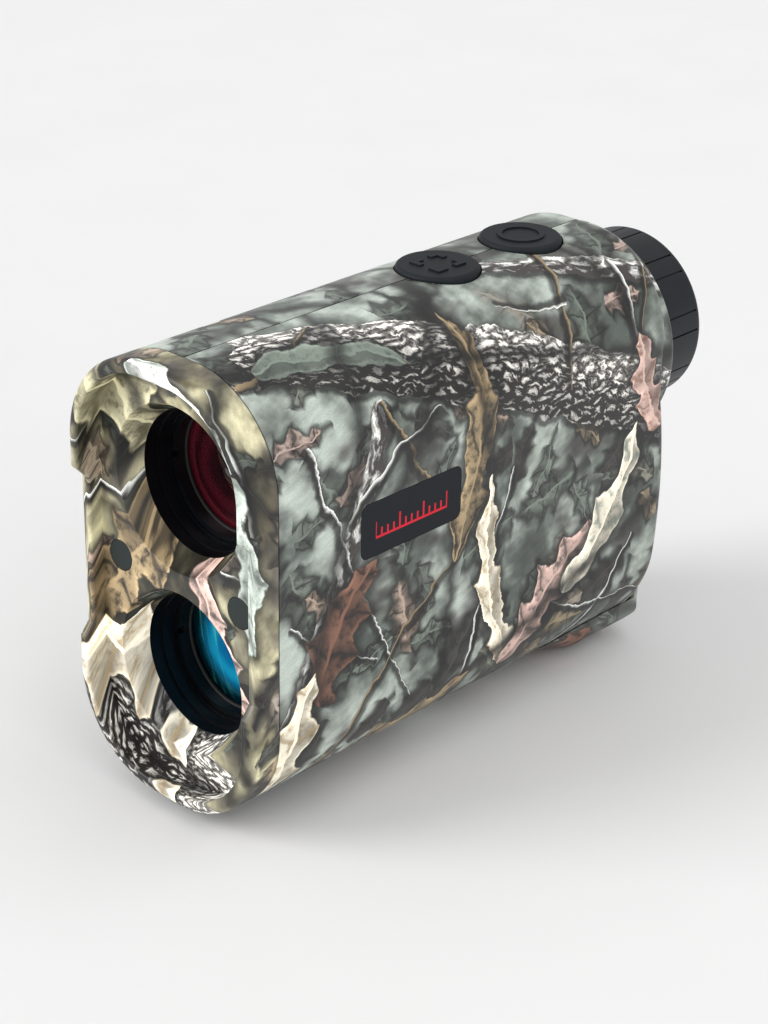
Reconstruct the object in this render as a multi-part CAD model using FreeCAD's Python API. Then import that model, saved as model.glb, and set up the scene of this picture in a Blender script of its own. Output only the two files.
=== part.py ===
import FreeCAD, Part
import math
import os

from FreeCAD import Vector

os.makedirs("parts", exist_ok=True)

# Compact laser rangefinder: a 6x21 monocular with the laser and display in the upper optical path
# and the echo receiver in the lower one. Millimetres. -Y is forward, +Z up, +X the user's left.
# The origin is the mouth of the tripod socket, on the flat strip of the underside.

# ---- body ----
WIDTH = 38.2
HEIGHT = 70.3
CORNER_R = 16.3
WALL = 2.0
SEAM_Y = -36.1          # front bezel and its panel end, and the two shells begin
REAR_FACE_Y = 51.5      # upper rear face, from which the eyepiece collar stands out
REAR_COLLAR_Y = 53.6
REAR_COLLAR_R = 18.8
REAR_BELLY = 1.7        # how far the lower rear face bulges
REAR_BELLY_Z = (8.0, 27.0, 44.5)
REAR_STEP = 0.6         # the rear face is set forward by this below the bulge
REAR_EDGE_R = 2.4
REAR_COLLAR_EDGE_R = 0.9
PARTING = 0.13          # width and depth of the fine grooves at the seams
SIDE_X = WIDTH / 2

# ---- optical axes ----
UPPER_Z = 50.2
LOWER_Z = 20.5
AXES_Z = (UPPER_Z, LOWER_Z)

# ---- front bezel ----
BEZEL_FRONT_Y = -42.2
BEZEL_LOWER_FRONT_Y = -41.8
BEZEL_NOTCH_Y = -40.2   # side rims set back between the two lens ports
NOTCH_LOW_Z = 23.2
NOTCH_HIGH_Z = 47.5
NOTCH_SLANT = 2.0
RIM_WALL = 2.2
RIM_EDGE_R = 1.3
RIM_INNER_EDGE_R = 0.45
PANEL_Y = -37.9
PORT_FRONT_R = 13.15
PORT_THROAT_R = 11.33
PORT_THROAT_Y = -34.1
PORT_COLLAR_R = 13.9
PORT_COLLAR_Y = -31.0
SPIGOT_END_Y = -33.0
SPIGOT_GAP = 0.1
SPIGOT_WALL = 1.4

# ---- lens barrels ----
BARREL_R = 12.2
BARREL_END_Y = -6.0
BARREL_STEPS = ((PORT_THROAT_Y, 11.3), (-31.8, 10.95), (-29.8, 10.6))
LENS_SEAT_Y = -24.0
LENS_R = 10.4
LENS_FRONT_Y = -27.6
RETAINER_BORE_R = 9.8
BAFFLE_R = 9.4

# ---- fasteners ----
PLUG_X = 12.86
PLUG_Z = 35.35
PLUG_R = 2.5
PLUG_THICK = 1.0
SCREW_R = 1.0
SCREW_HEAD_R = 1.8
SCREW_HEAD = 1.3
SCREW_SEAT = 2.2        # depth of a shell screw's seat below the wall
SHELL_SCREWS = ((-24.5, 35.35), (18.0, 36.6), (46.6, 33.4), (8.0, 9.6))
BOSS_R = 2.4
INSERT_R = 1.6

# ---- name plate ----
PLATE_Y = (-19.6, 1.7)
PLATE_Z = (39.3, 48.0)
PLATE_DEPTH = 0.8
PLATE_CORNER = 1.4

# ---- buttons ----
BUTTON_R = 6.62
BUTTON_TOP = HEIGHT + 0.7
BUTTON_EDGE_R = 0.7
FLANGE_R = 7.5
FLANGE_Z = (65.5, 66.4)
MARK_HEIGHT = 0.28
RING_MARK_R = (2.95, 3.8)
CORNER_MARK = (0.9, 2.15, 3.1)  # inner end, inner side and outer side of an arm
BUTTON_GAP = 0.25
BUTTON_TRAVEL = 0.8
BUTTON_YS = {"mode": 16.3, "measure": 35.7}
KEY_BOARD_Z = 60.2
SWITCH_TOP_Z = 62.9
PLUNGER_Z = 62.5        # lower end of a plunger when its button is released
PLUNGER_R = 1.5
POST_FOOT_Z = SWITCH_TOP_Z + 0.9
BOARD_THICK = 1.0
SEAL_R = (5.2, 6.2)
SEAL_TOP_Z = 64.4

# ---- prisms and display ----
PRISM_Y = -4.0
PRISM_HALF = 6.6
PRISM_AIR_GAP = 0.15
CARRIER_X = 9.6
CARRIER_Z = (UPPER_Z - 13.5, UPPER_Z + 9.0)
DISPLAY_Y = 23.0
DISPLAY_HALF = 6.5
DISPLAY_THICK = 1.4
LASER_Y = 4.0
LASER_CAN_R = 2.8
DIODE_CAN_R = 4.1
DIODE_FLANGE_R = 4.6
PIN_R = 0.25

# ---- eyepiece ----
SLEEVE_R = 12.6
SLEEVE_BORE_R = 11.05
SLEEVE_Y = (42.5, 60.2)
CELL_R = 11.0
RING_R = 14.7
RING_Y = (53.85, 66.2)
RING_BORE_R = 12.67
RING_BORE_END_Y = 61.6  # the eyecup seats behind it
CUP_R = 12.95
GRIP_PAIRS = 9          # pairs of grooves round the ring
GRIP_PAIR_ANGLE = 13.0
GROOVE_WIDTH = 0.3
GROOVE_DEPTH = 0.28
EYECUP_END_Y = 66.5
DRIVE_PIN_Y = 57.8
DRIVE_PIN_R = 0.7
DIOPTER_TRAVEL = 1.2    # of the lens cell, each way

# ---- heel, battery and door ----
HEEL_X = 15.8
HEEL_BOTTOM = -2.4
HEEL_CORNER = 10.0
HEEL_START_Y = 29.2
HEEL_RAMP_END_Y = 39.5
HEEL_REAR_R = 7.0
HEEL_PLAN_R = 4.5
HEEL_REAR_Y = 54.8
HEEL_TOP_Z = 9.0
HEEL_WALL = 1.5
DOOR_GAP = 0.15
HINGE_Y = 28.3
HINGE_Z = 1.7
HINGE_R = 1.4
HINGE_PIN_R = 0.5
HINGE_RELIEF_R = 2.6
SHELL_KNUCKLE_X = (3.1, 6.0)
DOOR_KNUCKLE_X = 2.9
BATTERY_R = 7.8
BATTERY_Y = 40.3
BATTERY_Z = 11.7
BAY_X = 14.25
BAY_Y = (32.3, 48.3)
BAY_ROOF_Z = 19.8

# ---- tripod socket and lanyard pin ----
TRIPOD_WALL_R = 2.6     # crests of a 1/4 in x 20 thread
TRIPOD_R = 4.5
TRIPOD_LENGTH = 6.5
LANYARD_Y = 46.0
LANYARD_Z = 25.6
LANYARD_DEPTH = 2.6

X_AXIS = Vector(1, 0, 0)
Y_AXIS = Vector(0, 1, 0)
Z_AXIS = Vector(0, 0, 1)


def save(name, shape):
    shape.exportStep("parts/" + name + ".step")


def box(x, y, z):
    """Box from three (low, high) pairs."""
    return Part.makeBox(x[1] - x[0], y[1] - y[0], z[1] - z[0], Vector(x[0], y[0], z[0]))


def rod_x(r, x, y, z):
    return Part.makeCylinder(r, x[1] - x[0], Vector(x[0], y, z), X_AXIS)


def rod_y(r, y, z, x=0.0):
    return Part.makeCylinder(r, y[1] - y[0], Vector(x, y[0], z), Y_AXIS)


def rod_z(r, z, x, y):
    return Part.makeCylinder(r, z[1] - z[0], Vector(x, y, z[0]), Z_AXIS)


def cone_y(r1, r2, y, z, x=0.0):
    return Part.makeCone(r1, r2, y[1] - y[0], Vector(x, y[0], z), Y_AXIS)


def tube_y(outer, inner, y, z):
    longer = (y[0] - 1, y[1] + 1)
    return rod_y(outer, y, z).cut(rod_y(inner, longer, z))


def face_yz(points, x=0.0):
    corners = [Vector(x, y, z) for y, z in points]
    return Part.Face(Part.makePolygon(corners + corners[:1]))


def section(y, inset=0.0):
    """The body's cross-section, a tall rounded rectangle, moved in by an inset."""
    r = CORNER_R - inset
    half = SIDE_X - inset
    low, high = inset, HEIGHT - inset
    s = r * math.sin(math.pi / 4)
    centres = ((half - r, high - r, 1, 1), (half - r, low + r, 1, -1),
               (r - half, low + r, -1, -1), (r - half, high - r, -1, 1))
    arcs = []
    for i, (cx, cz, sx, sz) in enumerate(centres):
        start, end = Vector(cx, y, cz + sz * r), Vector(cx + sx * r, y, cz)
        if i % 2:
            start, end = end, start
        arcs.append((start, Vector(cx + sx * s, y, cz + sz * s), end))
    edges = []
    for i, (start, mid, end) in enumerate(arcs):
        edges.append(Part.Arc(start, mid, end).toShape())
        edges.append(Part.LineSegment(end, arcs[(i + 1) % 4][0]).toShape())
    return Part.Face(Part.Wire(edges))


def prism_y(face, length):
    return face.extrude(Vector(0, length, 0))


def cut_all(shape, tools):
    for tool in tools:
        shape = shape.cut(tool)
    return shape


def fuse_all(shapes):
    whole = shapes[0]
    for shape in shapes[1:]:
        whole = whole.fuse(shape)
    return whole.removeSplitter()


def compound(shapes):
    return Part.makeCompound(shapes)


def half(sign):
    """Half space of one shell, on the +X or the -X side of the split."""
    x = (0, 60) if sign > 0 else (-60, 0)
    return box(x, (-60, 90), (-20, 100))


def fillet_where(shape, radius, test):
    edges = [e for e in shape.Edges if test(e)]
    return shape.makeFillet(radius, edges) if edges else shape


# ---------------------------------------------------------------- housing

def rear_profile(inset):
    """Side view of the body behind the seam, with its gently bulged lower rear."""
    rear = REAR_FACE_Y - inset
    low_z, belly_z, high_z = REAR_BELLY_Z
    lower_rear = rear - REAR_STEP
    front = SEAM_Y - 1 if inset == 0 else SEAM_Y - 2
    bottom = Part.LineSegment(Vector(0, front, -30), Vector(0, lower_rear, -30)).toShape()
    lower = Part.LineSegment(Vector(0, lower_rear, -30), Vector(0, lower_rear, low_z)).toShape()
    belly = Part.Arc(Vector(0, lower_rear, low_z), Vector(0, rear + REAR_BELLY, belly_z),
                     Vector(0, rear, high_z)).toShape()
    upper = Part.LineSegment(Vector(0, rear, high_z), Vector(0, rear, 100)).toShape()
    top = Part.LineSegment(Vector(0, rear, 100), Vector(0, front, 100)).toShape()
    back = Part.LineSegment(Vector(0, front, 100), Vector(0, front, -30)).toShape()
    face = Part.Face(Part.Wire([bottom, lower, belly, upper, top, back]))
    return face.translated(Vector(-40, 0, 0)).extrude(Vector(80, 0, 0))


def body_outer():
    """Outer form of both shells: the extruded section, its rounded rear edge and the round collar."""
    block = prism_y(section(SEAM_Y), 100).common(rear_profile(0))
    block = fillet_where(block, REAR_EDGE_R, lambda e: e.BoundBox.YMin > REAR_FACE_Y - 2 * REAR_STEP)
    collar = rod_y(REAR_COLLAR_R, (REAR_FACE_Y - 12, REAR_COLLAR_Y), UPPER_Z)
    collar = fillet_where(collar, REAR_COLLAR_EDGE_R, lambda e: e.BoundBox.YMin > REAR_COLLAR_Y - 0.1)
    return block.fuse(collar)


def body_inner():
    """Hollow inside the shells, open at the front."""
    return prism_y(section(SEAM_Y - 1, WALL), 100).common(rear_profile(WALL))


def heel_section(y, x, low, flat, corner):
    """Front view of the heel at one station: flat middle, round lower corners, straight sides."""
    middle = low + corner
    turn = math.asin(min((x - flat) / corner, 1.0))
    end = Vector(x, y, middle - corner * math.cos(turn))
    mid = Vector(flat + corner * math.sin(turn / 2), y, middle - corner * math.cos(turn / 2))
    top = HEEL_TOP_Z + 12

    def left(v):
        return Vector(-v.x, v.y, v.z)

    corner_right = [Vector(flat, y, low), mid, end]
    corner_left = [left(v) for v in reversed(corner_right)]
    edges = [Part.LineSegment(Vector(-x, y, top), corner_left[0]).toShape(),
             Part.Arc(*corner_left).toShape(),
             Part.LineSegment(corner_left[2], corner_right[0]).toShape(),
             Part.Arc(*corner_right).toShape(),
             Part.LineSegment(end, Vector(x, y, top)).toShape(),
             Part.LineSegment(Vector(x, y, top), Vector(-x, y, top)).toShape()]
    return Part.Wire(edges)


def heel_rear(inset):
    """Side view that rounds the rear lower edge and closes the heel at the top."""
    rear = HEEL_REAR_Y - inset
    low = HEEL_BOTTOM + inset - 0.01
    top = HEEL_TOP_Z - inset
    front = HEEL_START_Y
    r = HEEL_REAR_R - inset
    s = r * math.sin(math.pi / 4)
    edges = [Part.LineSegment(Vector(0, front, low), Vector(0, rear - r, low)).toShape(),
             Part.Arc(Vector(0, rear - r, low), Vector(0, rear - r + s, low + r - s),
                      Vector(0, rear, low + r)).toShape(),
             Part.LineSegment(Vector(0, rear, low + r), Vector(0, rear, top - 2)).toShape(),
             Part.LineSegment(Vector(0, rear, top - 2), Vector(0, rear - 2, top)).toShape(),
             Part.LineSegment(Vector(0, rear - 2, top), Vector(0, front, top)).toShape(),
             Part.LineSegment(Vector(0, front, top), Vector(0, front, low)).toShape()]
    face = Part.Face(Part.Wire(edges))
    return face.translated(Vector(-30, 0, 0)).extrude(Vector(60, 0, 0))


def heel(inset=0.0):
    """The heel: its section grows out of the underside, then runs on to a rounded rear."""
    x = HEEL_X - inset
    start = heel_section(HEEL_START_Y, x, inset, SIDE_X - CORNER_R, CORNER_R - inset)
    end = heel_section(HEEL_RAMP_END_Y, x, HEEL_BOTTOM + inset, HEEL_X - HEEL_CORNER, HEEL_CORNER - inset)
    ramp = Part.makeLoft([start, end], True, True)
    run = prism_y(Part.Face(end), 30)
    plan = box((-x, x), (HEEL_START_Y, HEEL_REAR_Y - inset), (-20, 30))
    plan = fillet_where(plan, HEEL_PLAN_R - inset / 2,
                        lambda e: e.BoundBox.YMin > HEEL_REAR_Y - inset - 0.1 and e.BoundBox.ZLength > 40)
    return ramp.fuse(run).common(heel_rear(inset)).common(plan)


def hinge_rod(r, x0, x1):
    return rod_x(r, (x0, x1), HINGE_Y, HINGE_Z)


def wall_x(z):
    """Distance of the outer side surface from the split at one height."""
    if z > CORNER_R:
        return SIDE_X
    return SIDE_X - CORNER_R + math.sqrt(CORNER_R ** 2 - (CORNER_R - z) ** 2)


def screw_bosses(sign):
    """Bosses for the cross screws, from the split to the side wall."""
    reach = (0, SIDE_X - 1) if sign > 0 else (1 - SIDE_X, 0)
    return [rod_x(BOSS_R, reach, y, z) for y, z in SHELL_SCREWS]


def shell_inner_features(sign):
    """Everything that stands inside one shell, before it is trimmed to the outer form."""
    side = (0, SIDE_X) if sign > 0 else (-SIDE_X, 0)
    features = screw_bosses(sign)
    features.append(rod_y(2.3, (SPIGOT_END_Y, -27.6), PLUG_Z, sign * PLUG_X))
    web = (PLUG_X, SIDE_X) if sign > 0 else (-SIDE_X, -PLUG_X)
    features.append(box(web, (SPIGOT_END_Y, -27.6), (PLUG_Z - 1, PLUG_Z + 1)))
    features.append(rod_z(TRIPOD_R + 2, (0, TRIPOD_LENGTH + 1.5), 0, 0))
    features.append(box((-11, 11), (24.6, BAY_Y[0]), (0, 7.5)))
    features.append(box(side, (BAY_Y[0] - 1.2, BAY_Y[0]), (0, BAY_ROOF_Z + 1.2)))
    features.append(box(side, (BAY_Y[0] - 1.2, REAR_FACE_Y - 1), (BAY_ROOF_Z, BAY_ROOF_Z + 1.2)))
    features.append(box((BAY_X, SIDE_X) if sign > 0 else (-SIDE_X, -BAY_X),
                        (BAY_Y[0] - 1.2, REAR_FACE_Y - 1), (0, BAY_ROOF_Z)))
    features.append(tube_y(SLEEVE_R + 1.6, SLEEVE_R + 0.03, (SLEEVE_Y[0] + 1, REAR_FACE_Y), UPPER_Z))
    if sign < 0:
        features.append(box((-SIDE_X, LANYARD_DEPTH + 2 - SIDE_X), (LANYARD_Y - 5, LANYARD_Y + 4),
                            (LANYARD_Z - 4.6, LANYARD_Z + 4.6)))
    return features


def battery_opening():
    """Straight way for the battery, down through the underside."""
    return box((-BAY_X, BAY_X), BAY_Y, (-10, BAY_ROOF_Z))


def shell_cuts(sign):
    """Holes and pockets of one shell."""
    cuts = [battery_opening()]
    for y in BUTTON_YS.values():
        cuts.append(rod_z(BUTTON_R + BUTTON_GAP, (KEY_BOARD_Z, 90), 0, y))
    cuts.append(rod_y(SLEEVE_R + 0.03, (SLEEVE_Y[0] - 1, 70), UPPER_Z))
    cuts.append(rod_z(TRIPOD_R + 0.02, (-5, TRIPOD_LENGTH + 0.02), 0, 0))
    cuts.append(hinge_rod(HINGE_RELIEF_R, -9, 9))
    cuts.append(box((-9, 9), (HINGE_Y, HINGE_Y + 2.9), (-3, HINGE_Z + 0.6)))
    cuts.append(rod_y(0.85, (-45, -28.5), PLUG_Z, sign * PLUG_X))
    for y, z in SHELL_SCREWS:
        if sign > 0:
            cuts.append(rod_x(INSERT_R + 0.01, (-1, 5.0), y, z))
        else:
            cuts.append(rod_x(SCREW_R + 0.15, (-30, 1), y, z))
            cuts.append(rod_x(SCREW_HEAD_R + 0.15, (-30, SCREW_SEAT - wall_x(z)), y, z))
    if sign > 0:
        cuts.append(plate_block(PLATE_DEPTH + 0.02, 0.08))
    else:
        cuts.append(box((-30, LANYARD_DEPTH - SIDE_X), (LANYARD_Y - 2.6, LANYARD_Y + 2.6),
                        (LANYARD_Z - 2.2, LANYARD_Z + 2.2)))
        cuts.append(rod_z(0.77, (LANYARD_Z - 3.6, LANYARD_Z + 3.6), 1.2 - SIDE_X, LANYARD_Y))
    return cuts


def hinge_knuckle(sign):
    """Fixed hinge knuckle of one shell, with a web up to the hinge block."""
    near, far = SHELL_KNUCKLE_X
    x = (near, far) if sign > 0 else (-far, -near)
    barrel = hinge_rod(HINGE_R, *x)
    web = box(x, (HINGE_Y - HINGE_R, HINGE_Y + HINGE_R), (HINGE_Z, HINGE_Z + 3.4))
    return barrel.fuse(web).cut(hinge_rod(HINGE_PIN_R, *x))


def parting_grooves(sign):
    """Fine grooves where one shell meets the other on top, and where it meets the bezel."""
    x = (0, PARTING) if sign > 0 else (-PARTING, 0)
    top = box(x, (SEAM_Y - 1, REAR_FACE_Y), (HEIGHT - PARTING, HEIGHT + 1))
    ring = prism_y(section(SEAM_Y, -1), PARTING).cut(prism_y(section(SEAM_Y, PARTING), PARTING))
    return [top, ring]


def shell(sign):
    outer = body_outer()
    hull = outer.cut(body_inner())
    inner = fuse_all(shell_inner_features(sign)).common(outer)
    whole = hull.common(half(sign)).fuse(inner.common(half(sign)))
    whole = cut_all(whole, shell_cuts(sign) + parting_grooves(sign))
    return whole.fuse(hinge_knuckle(sign)).removeSplitter()


def plate_block(depth, grow=0.0):
    """Name plate outline on the left wall."""
    plate = box((SIDE_X - depth, SIDE_X), (PLATE_Y[0] - grow, PLATE_Y[1] + grow),
                (PLATE_Z[0] - grow, PLATE_Z[1] + grow))
    return fillet_where(plate, PLATE_CORNER, lambda e: abs(e.BoundBox.XLength - depth) < 1e-6)


def name_plate():
    return plate_block(PLATE_DEPTH)


# ---------------------------------------------------------------- front bezel

def rim_notch():
    """Tool that sets the side rims back between the ports and the lower rim back a little."""
    side = face_yz([(-60, NOTCH_LOW_Z - NOTCH_SLANT), (BEZEL_LOWER_FRONT_Y, NOTCH_LOW_Z - NOTCH_SLANT),
                    (BEZEL_NOTCH_Y, NOTCH_LOW_Z), (BEZEL_NOTCH_Y, NOTCH_HIGH_Z),
                    (BEZEL_FRONT_Y, NOTCH_HIGH_Z + NOTCH_SLANT), (-60, NOTCH_HIGH_Z + NOTCH_SLANT)])
    lower = face_yz([(-60, -10), (BEZEL_LOWER_FRONT_Y, -10), (BEZEL_LOWER_FRONT_Y, NOTCH_LOW_Z),
                     (-60, NOTCH_LOW_Z)])
    out = Vector(80, 0, 0)
    return [f.translated(Vector(-40, 0, 0)).extrude(out) for f in (side, lower)]


def bezel_block():
    block = prism_y(section(BEZEL_FRONT_Y), SEAM_Y - BEZEL_FRONT_Y)
    block = cut_all(block, rim_notch())
    hollow = prism_y(section(BEZEL_FRONT_Y - 5, RIM_WALL), PANEL_Y - BEZEL_FRONT_Y + 5)
    return block.cut(hollow)


def outline_distance(point):
    """Signed distance of a point from the body's cross-section outline, negative inside."""
    dx = abs(point.x) - (SIDE_X - CORNER_R)
    dz = abs(point.z - HEIGHT / 2) - (HEIGHT / 2 - CORNER_R)
    return math.hypot(max(dx, 0), max(dz, 0)) + min(max(dx, dz), 0) - CORNER_R


def rim_edge(edge, depth):
    """True for an edge of the front rim that runs at one depth inside the outline."""
    if edge.BoundBox.YMax > PANEL_Y - 0.9:
        return False
    middle = edge.valueAt((edge.FirstParameter + edge.LastParameter) / 2)
    ends = [v.Point for v in edge.Vertexes]
    return all(abs(outline_distance(p) + depth) < 0.01 for p in [middle] + ends)


def front_bezel():
    block = fillet_where(bezel_block(), RIM_EDGE_R, lambda e: rim_edge(e, 0))
    block = fillet_where(block, RIM_INNER_EDGE_R, lambda e: rim_edge(e, RIM_WALL))
    spigot = prism_y(section(SEAM_Y - 0.5, WALL + SPIGOT_GAP), SPIGOT_END_Y - SEAM_Y + 0.5)
    spigot = spigot.cut(prism_y(section(PANEL_Y, WALL + SPIGOT_GAP + SPIGOT_WALL), 30))
    pieces = [block, spigot]
    for z in AXES_Z:
        pieces.append(rod_y(PORT_COLLAR_R, (PANEL_Y + 0.5, PORT_COLLAR_Y), z))
    for sign in (1, -1):
        pieces.append(rod_y(3.3, (PANEL_Y + 0.5, SPIGOT_END_Y), PLUG_Z, sign * PLUG_X))
    whole = fuse_all(pieces)
    cuts = []
    for z in AXES_Z:
        cuts.append(cone_y(PORT_FRONT_R, PORT_THROAT_R, (PANEL_Y, PORT_THROAT_Y), z))
        cuts.append(rod_y(PORT_THROAT_R, (PORT_THROAT_Y - 0.01, PORT_COLLAR_Y + 1), z))
        cuts.append(rod_y(BARREL_R + 0.03, (PORT_THROAT_Y, PORT_COLLAR_Y + 1), z))
    for sign in (1, -1):
        x = sign * PLUG_X
        cuts.append(rod_y(PLUG_R + 0.02, (-60, PANEL_Y + PLUG_THICK), PLUG_Z, x).common(
            box((-30, 30), (PANEL_Y - 0.01, 0), (0, 60))))
        cuts.append(rod_y(SCREW_HEAD_R + 0.1, (PANEL_Y, PANEL_Y + PLUG_THICK + SCREW_HEAD), PLUG_Z, x))
        cuts.append(rod_y(SCREW_R + 0.1, (PANEL_Y, 0), PLUG_Z, x))
    return cut_all(whole, cuts)


def screw_plugs():
    plugs = []
    for sign in (1, -1):
        plug = rod_y(PLUG_R, (PANEL_Y, PANEL_Y + PLUG_THICK), PLUG_Z, sign * PLUG_X)
        plugs.append(fillet_where(plug, 0.25, lambda e: e.BoundBox.YMax < PANEL_Y + 0.1))
    return compound(plugs)


def bezel_screws():
    screws = []
    head = (PANEL_Y + PLUG_THICK, PANEL_Y + PLUG_THICK + SCREW_HEAD)
    for sign in (1, -1):
        x = sign * PLUG_X
        screw = rod_y(SCREW_HEAD_R, head, PLUG_Z, x).fuse(rod_y(0.85, (head[1], -29.0), PLUG_Z, x))
        slot = rod_y(0.75, (head[0] - 1, head[0] + 0.7), PLUG_Z, x)
        screws.append(screw.cut(slot))
    return compound(screws)


def shell_screws():
    screws = []
    for y, z in SHELL_SCREWS:
        seat = SCREW_SEAT - wall_x(z)
        top = seat - 1.4
        head = fillet_where(rod_x(SCREW_HEAD_R, (top, seat), y, z), 0.4,
                            lambda e: e.BoundBox.XMax < top + 0.1)
        screw = head.fuse(rod_x(SCREW_R, (seat, 4.6), y, z))
        recess = (top - 1, top + 0.9)
        cross = [box(recess, (y - 1.1, y + 1.1), (z - 0.22, z + 0.22)),
                 box(recess, (y - 0.22, y + 0.22), (z - 1.1, z + 1.1))]
        screws.append(cut_all(screw, cross))
    return compound(screws)


def screw_inserts():
    inserts = []
    for y, z in SHELL_SCREWS:
        inserts.append(rod_x(INSERT_R, (0.05, 4.95), y, z).cut(rod_x(SCREW_R + 0.005, (-1, 6), y, z)))
    return compound(inserts)


def tripod_insert():
    bush = rod_z(TRIPOD_R, (0.0, TRIPOD_LENGTH), 0, 0)
    return bush.cut(rod_z(TRIPOD_WALL_R, (-1, TRIPOD_LENGTH - 0.8), 0, 0))


def lanyard_pin():
    return rod_z(0.75, (LANYARD_Z - 3.5, LANYARD_Z + 3.5), 1.2 - SIDE_X, LANYARD_Y)


# ---------------------------------------------------------------- keys

def button(y, ring_mark):
    """Rubber cap with an inner flange and a post that stands on the switch plunger."""
    cap = rod_z(BUTTON_R, (FLANGE_Z[1], BUTTON_TOP), 0, y)
    cap = fillet_where(cap, BUTTON_EDGE_R, lambda e: e.BoundBox.ZMin > BUTTON_TOP - 0.1)
    flange = rod_z(FLANGE_R, FLANGE_Z, 0, y)
    post = rod_z(PLUNGER_R + 0.1, (POST_FOOT_Z, FLANGE_Z[0] + 0.5), 0, y)
    whole = fuse_all([cap, flange, post])
    mark_z = (BUTTON_TOP - 0.1, BUTTON_TOP + MARK_HEIGHT)
    if ring_mark:
        mark = rod_z(RING_MARK_R[1], mark_z, 0, y)
        return whole.fuse(mark.cut(rod_z(RING_MARK_R[0], (60, 80), 0, y)))
    start, inner, outer = CORNER_MARK
    marks = []
    for sx in (1, -1):
        for sy in (1, -1):
            corner = box((start, outer), (start, outer), mark_z)
            corner = corner.cut(box((0, inner), (0, inner), (0, 100)))
            corner = corner if sx > 0 else corner.mirror(Vector(), X_AXIS)
            corner = corner if sy > 0 else corner.mirror(Vector(), Y_AXIS)
            marks.append(corner.translated(Vector(0, y, 0)))
    return fuse_all([whole] + marks)


def switch_plunger(y):
    return rod_z(PLUNGER_R, (PLUNGER_Z, POST_FOOT_Z), 0, y)


def key_switches():
    """Two tact switch bodies with a bore for the plunger."""
    switches = []
    for y in BUTTON_YS.values():
        body = box((-3, 3), (y - 3, y + 3), (KEY_BOARD_Z + BOARD_THICK, SWITCH_TOP_Z))
        switches.append(body.cut(rod_z(PLUNGER_R + 0.06, (PLUNGER_Z - BUTTON_TRAVEL - 0.1, 80), 0, y)))
    return compound(switches)


def key_board():
    return box((-7.5, 7.5), (10.5, 40.6), (KEY_BOARD_Z, KEY_BOARD_Z + BOARD_THICK))


def keypad_seal():
    """Soft ring under each button flange, standing on the key board, joined by a strip."""
    y1, y2 = BUTTON_YS["mode"], BUTTON_YS["measure"]
    bore_r, rim_r = SEAL_R
    low = KEY_BOARD_Z + BOARD_THICK + 0.05
    rings = [rod_z(rim_r, (low, SEAL_TOP_Z), 0, y).cut(rod_z(bore_r, (50, 80), 0, y)) for y in (y1, y2)]
    strip = box((-2, 2), (y1 + rim_r - 0.4, y2 - rim_r + 0.4), (low, low + 0.75))
    return fuse_all(rings + [strip])


# ---------------------------------------------------------------- lenses

def lens(z, y_front, y_back, r, bulge_front, bulge_back):
    """Lens turned about its axis; a positive bulge is outwards."""
    front_mid = Vector(0, y_front - bulge_front, z)
    back_mid = Vector(0, y_back + bulge_back, z)

    def arc(mid, edge_y, sag):
        if abs(sag) < 1e-6:
            return Part.LineSegment(mid, Vector(r, edge_y, z)).toShape()
        radius = (r * r + sag * sag) / (2 * abs(sag))
        side = r / 2
        drop = (radius - math.sqrt(radius * radius - side * side)) * (1 if mid.y < edge_y else -1)
        return Part.Arc(mid, Vector(side, mid.y + drop, z), Vector(r, edge_y, z)).toShape()

    front = arc(front_mid, y_front, bulge_front)
    rim = Part.LineSegment(Vector(r, y_front, z), Vector(r, y_back, z)).toShape()
    back = arc(back_mid, y_back, bulge_back)
    axis = Part.LineSegment(back_mid, front_mid).toShape()
    wire = Part.Wire(Part.__sortEdges__([front, rim, back, axis]))
    return Part.Face(wire).revolve(Vector(0, 0, z), Y_AXIS, 360)


def lens_barrel(z):
    """Ridged barrel: three steps down to the lens seat, then a baffled tail."""
    whole = rod_y(BARREL_R, (PORT_THROAT_Y, BARREL_END_Y), z)
    bores = []
    ends = [start for start, r in BARREL_STEPS[1:]] + [LENS_SEAT_Y]
    for (start, r), end in zip(BARREL_STEPS, ends):
        bores.append(rod_y(r, (start - 0.01, end), z))
    bores.append(rod_y(BAFFLE_R, (LENS_SEAT_Y - 1, BARREL_END_Y + 1), z))
    for i in range(6):
        y = LENS_SEAT_Y + 2.5 + 2.4 * i
        bores.append(rod_y(BAFFLE_R + 1.2, (y, y + 1.5), z))
    return cut_all(whole, bores)


def retainer(z):
    """Slotted ring that holds a lens from the front."""
    ring = tube_y(BARREL_STEPS[2][1] - 0.02, RETAINER_BORE_R, (-29.4, LENS_FRONT_Y), z)
    slot = box((-12, 12), (-29.6, -28.6), (z - 0.6, z + 0.6))
    return ring.cut(slot)


def o_ring(z, y, r, thick):
    return Part.makeTorus(r, thick, Vector(0, y, z), Y_AXIS)


# ---------------------------------------------------------------- prisms, display, laser, receiver

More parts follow.
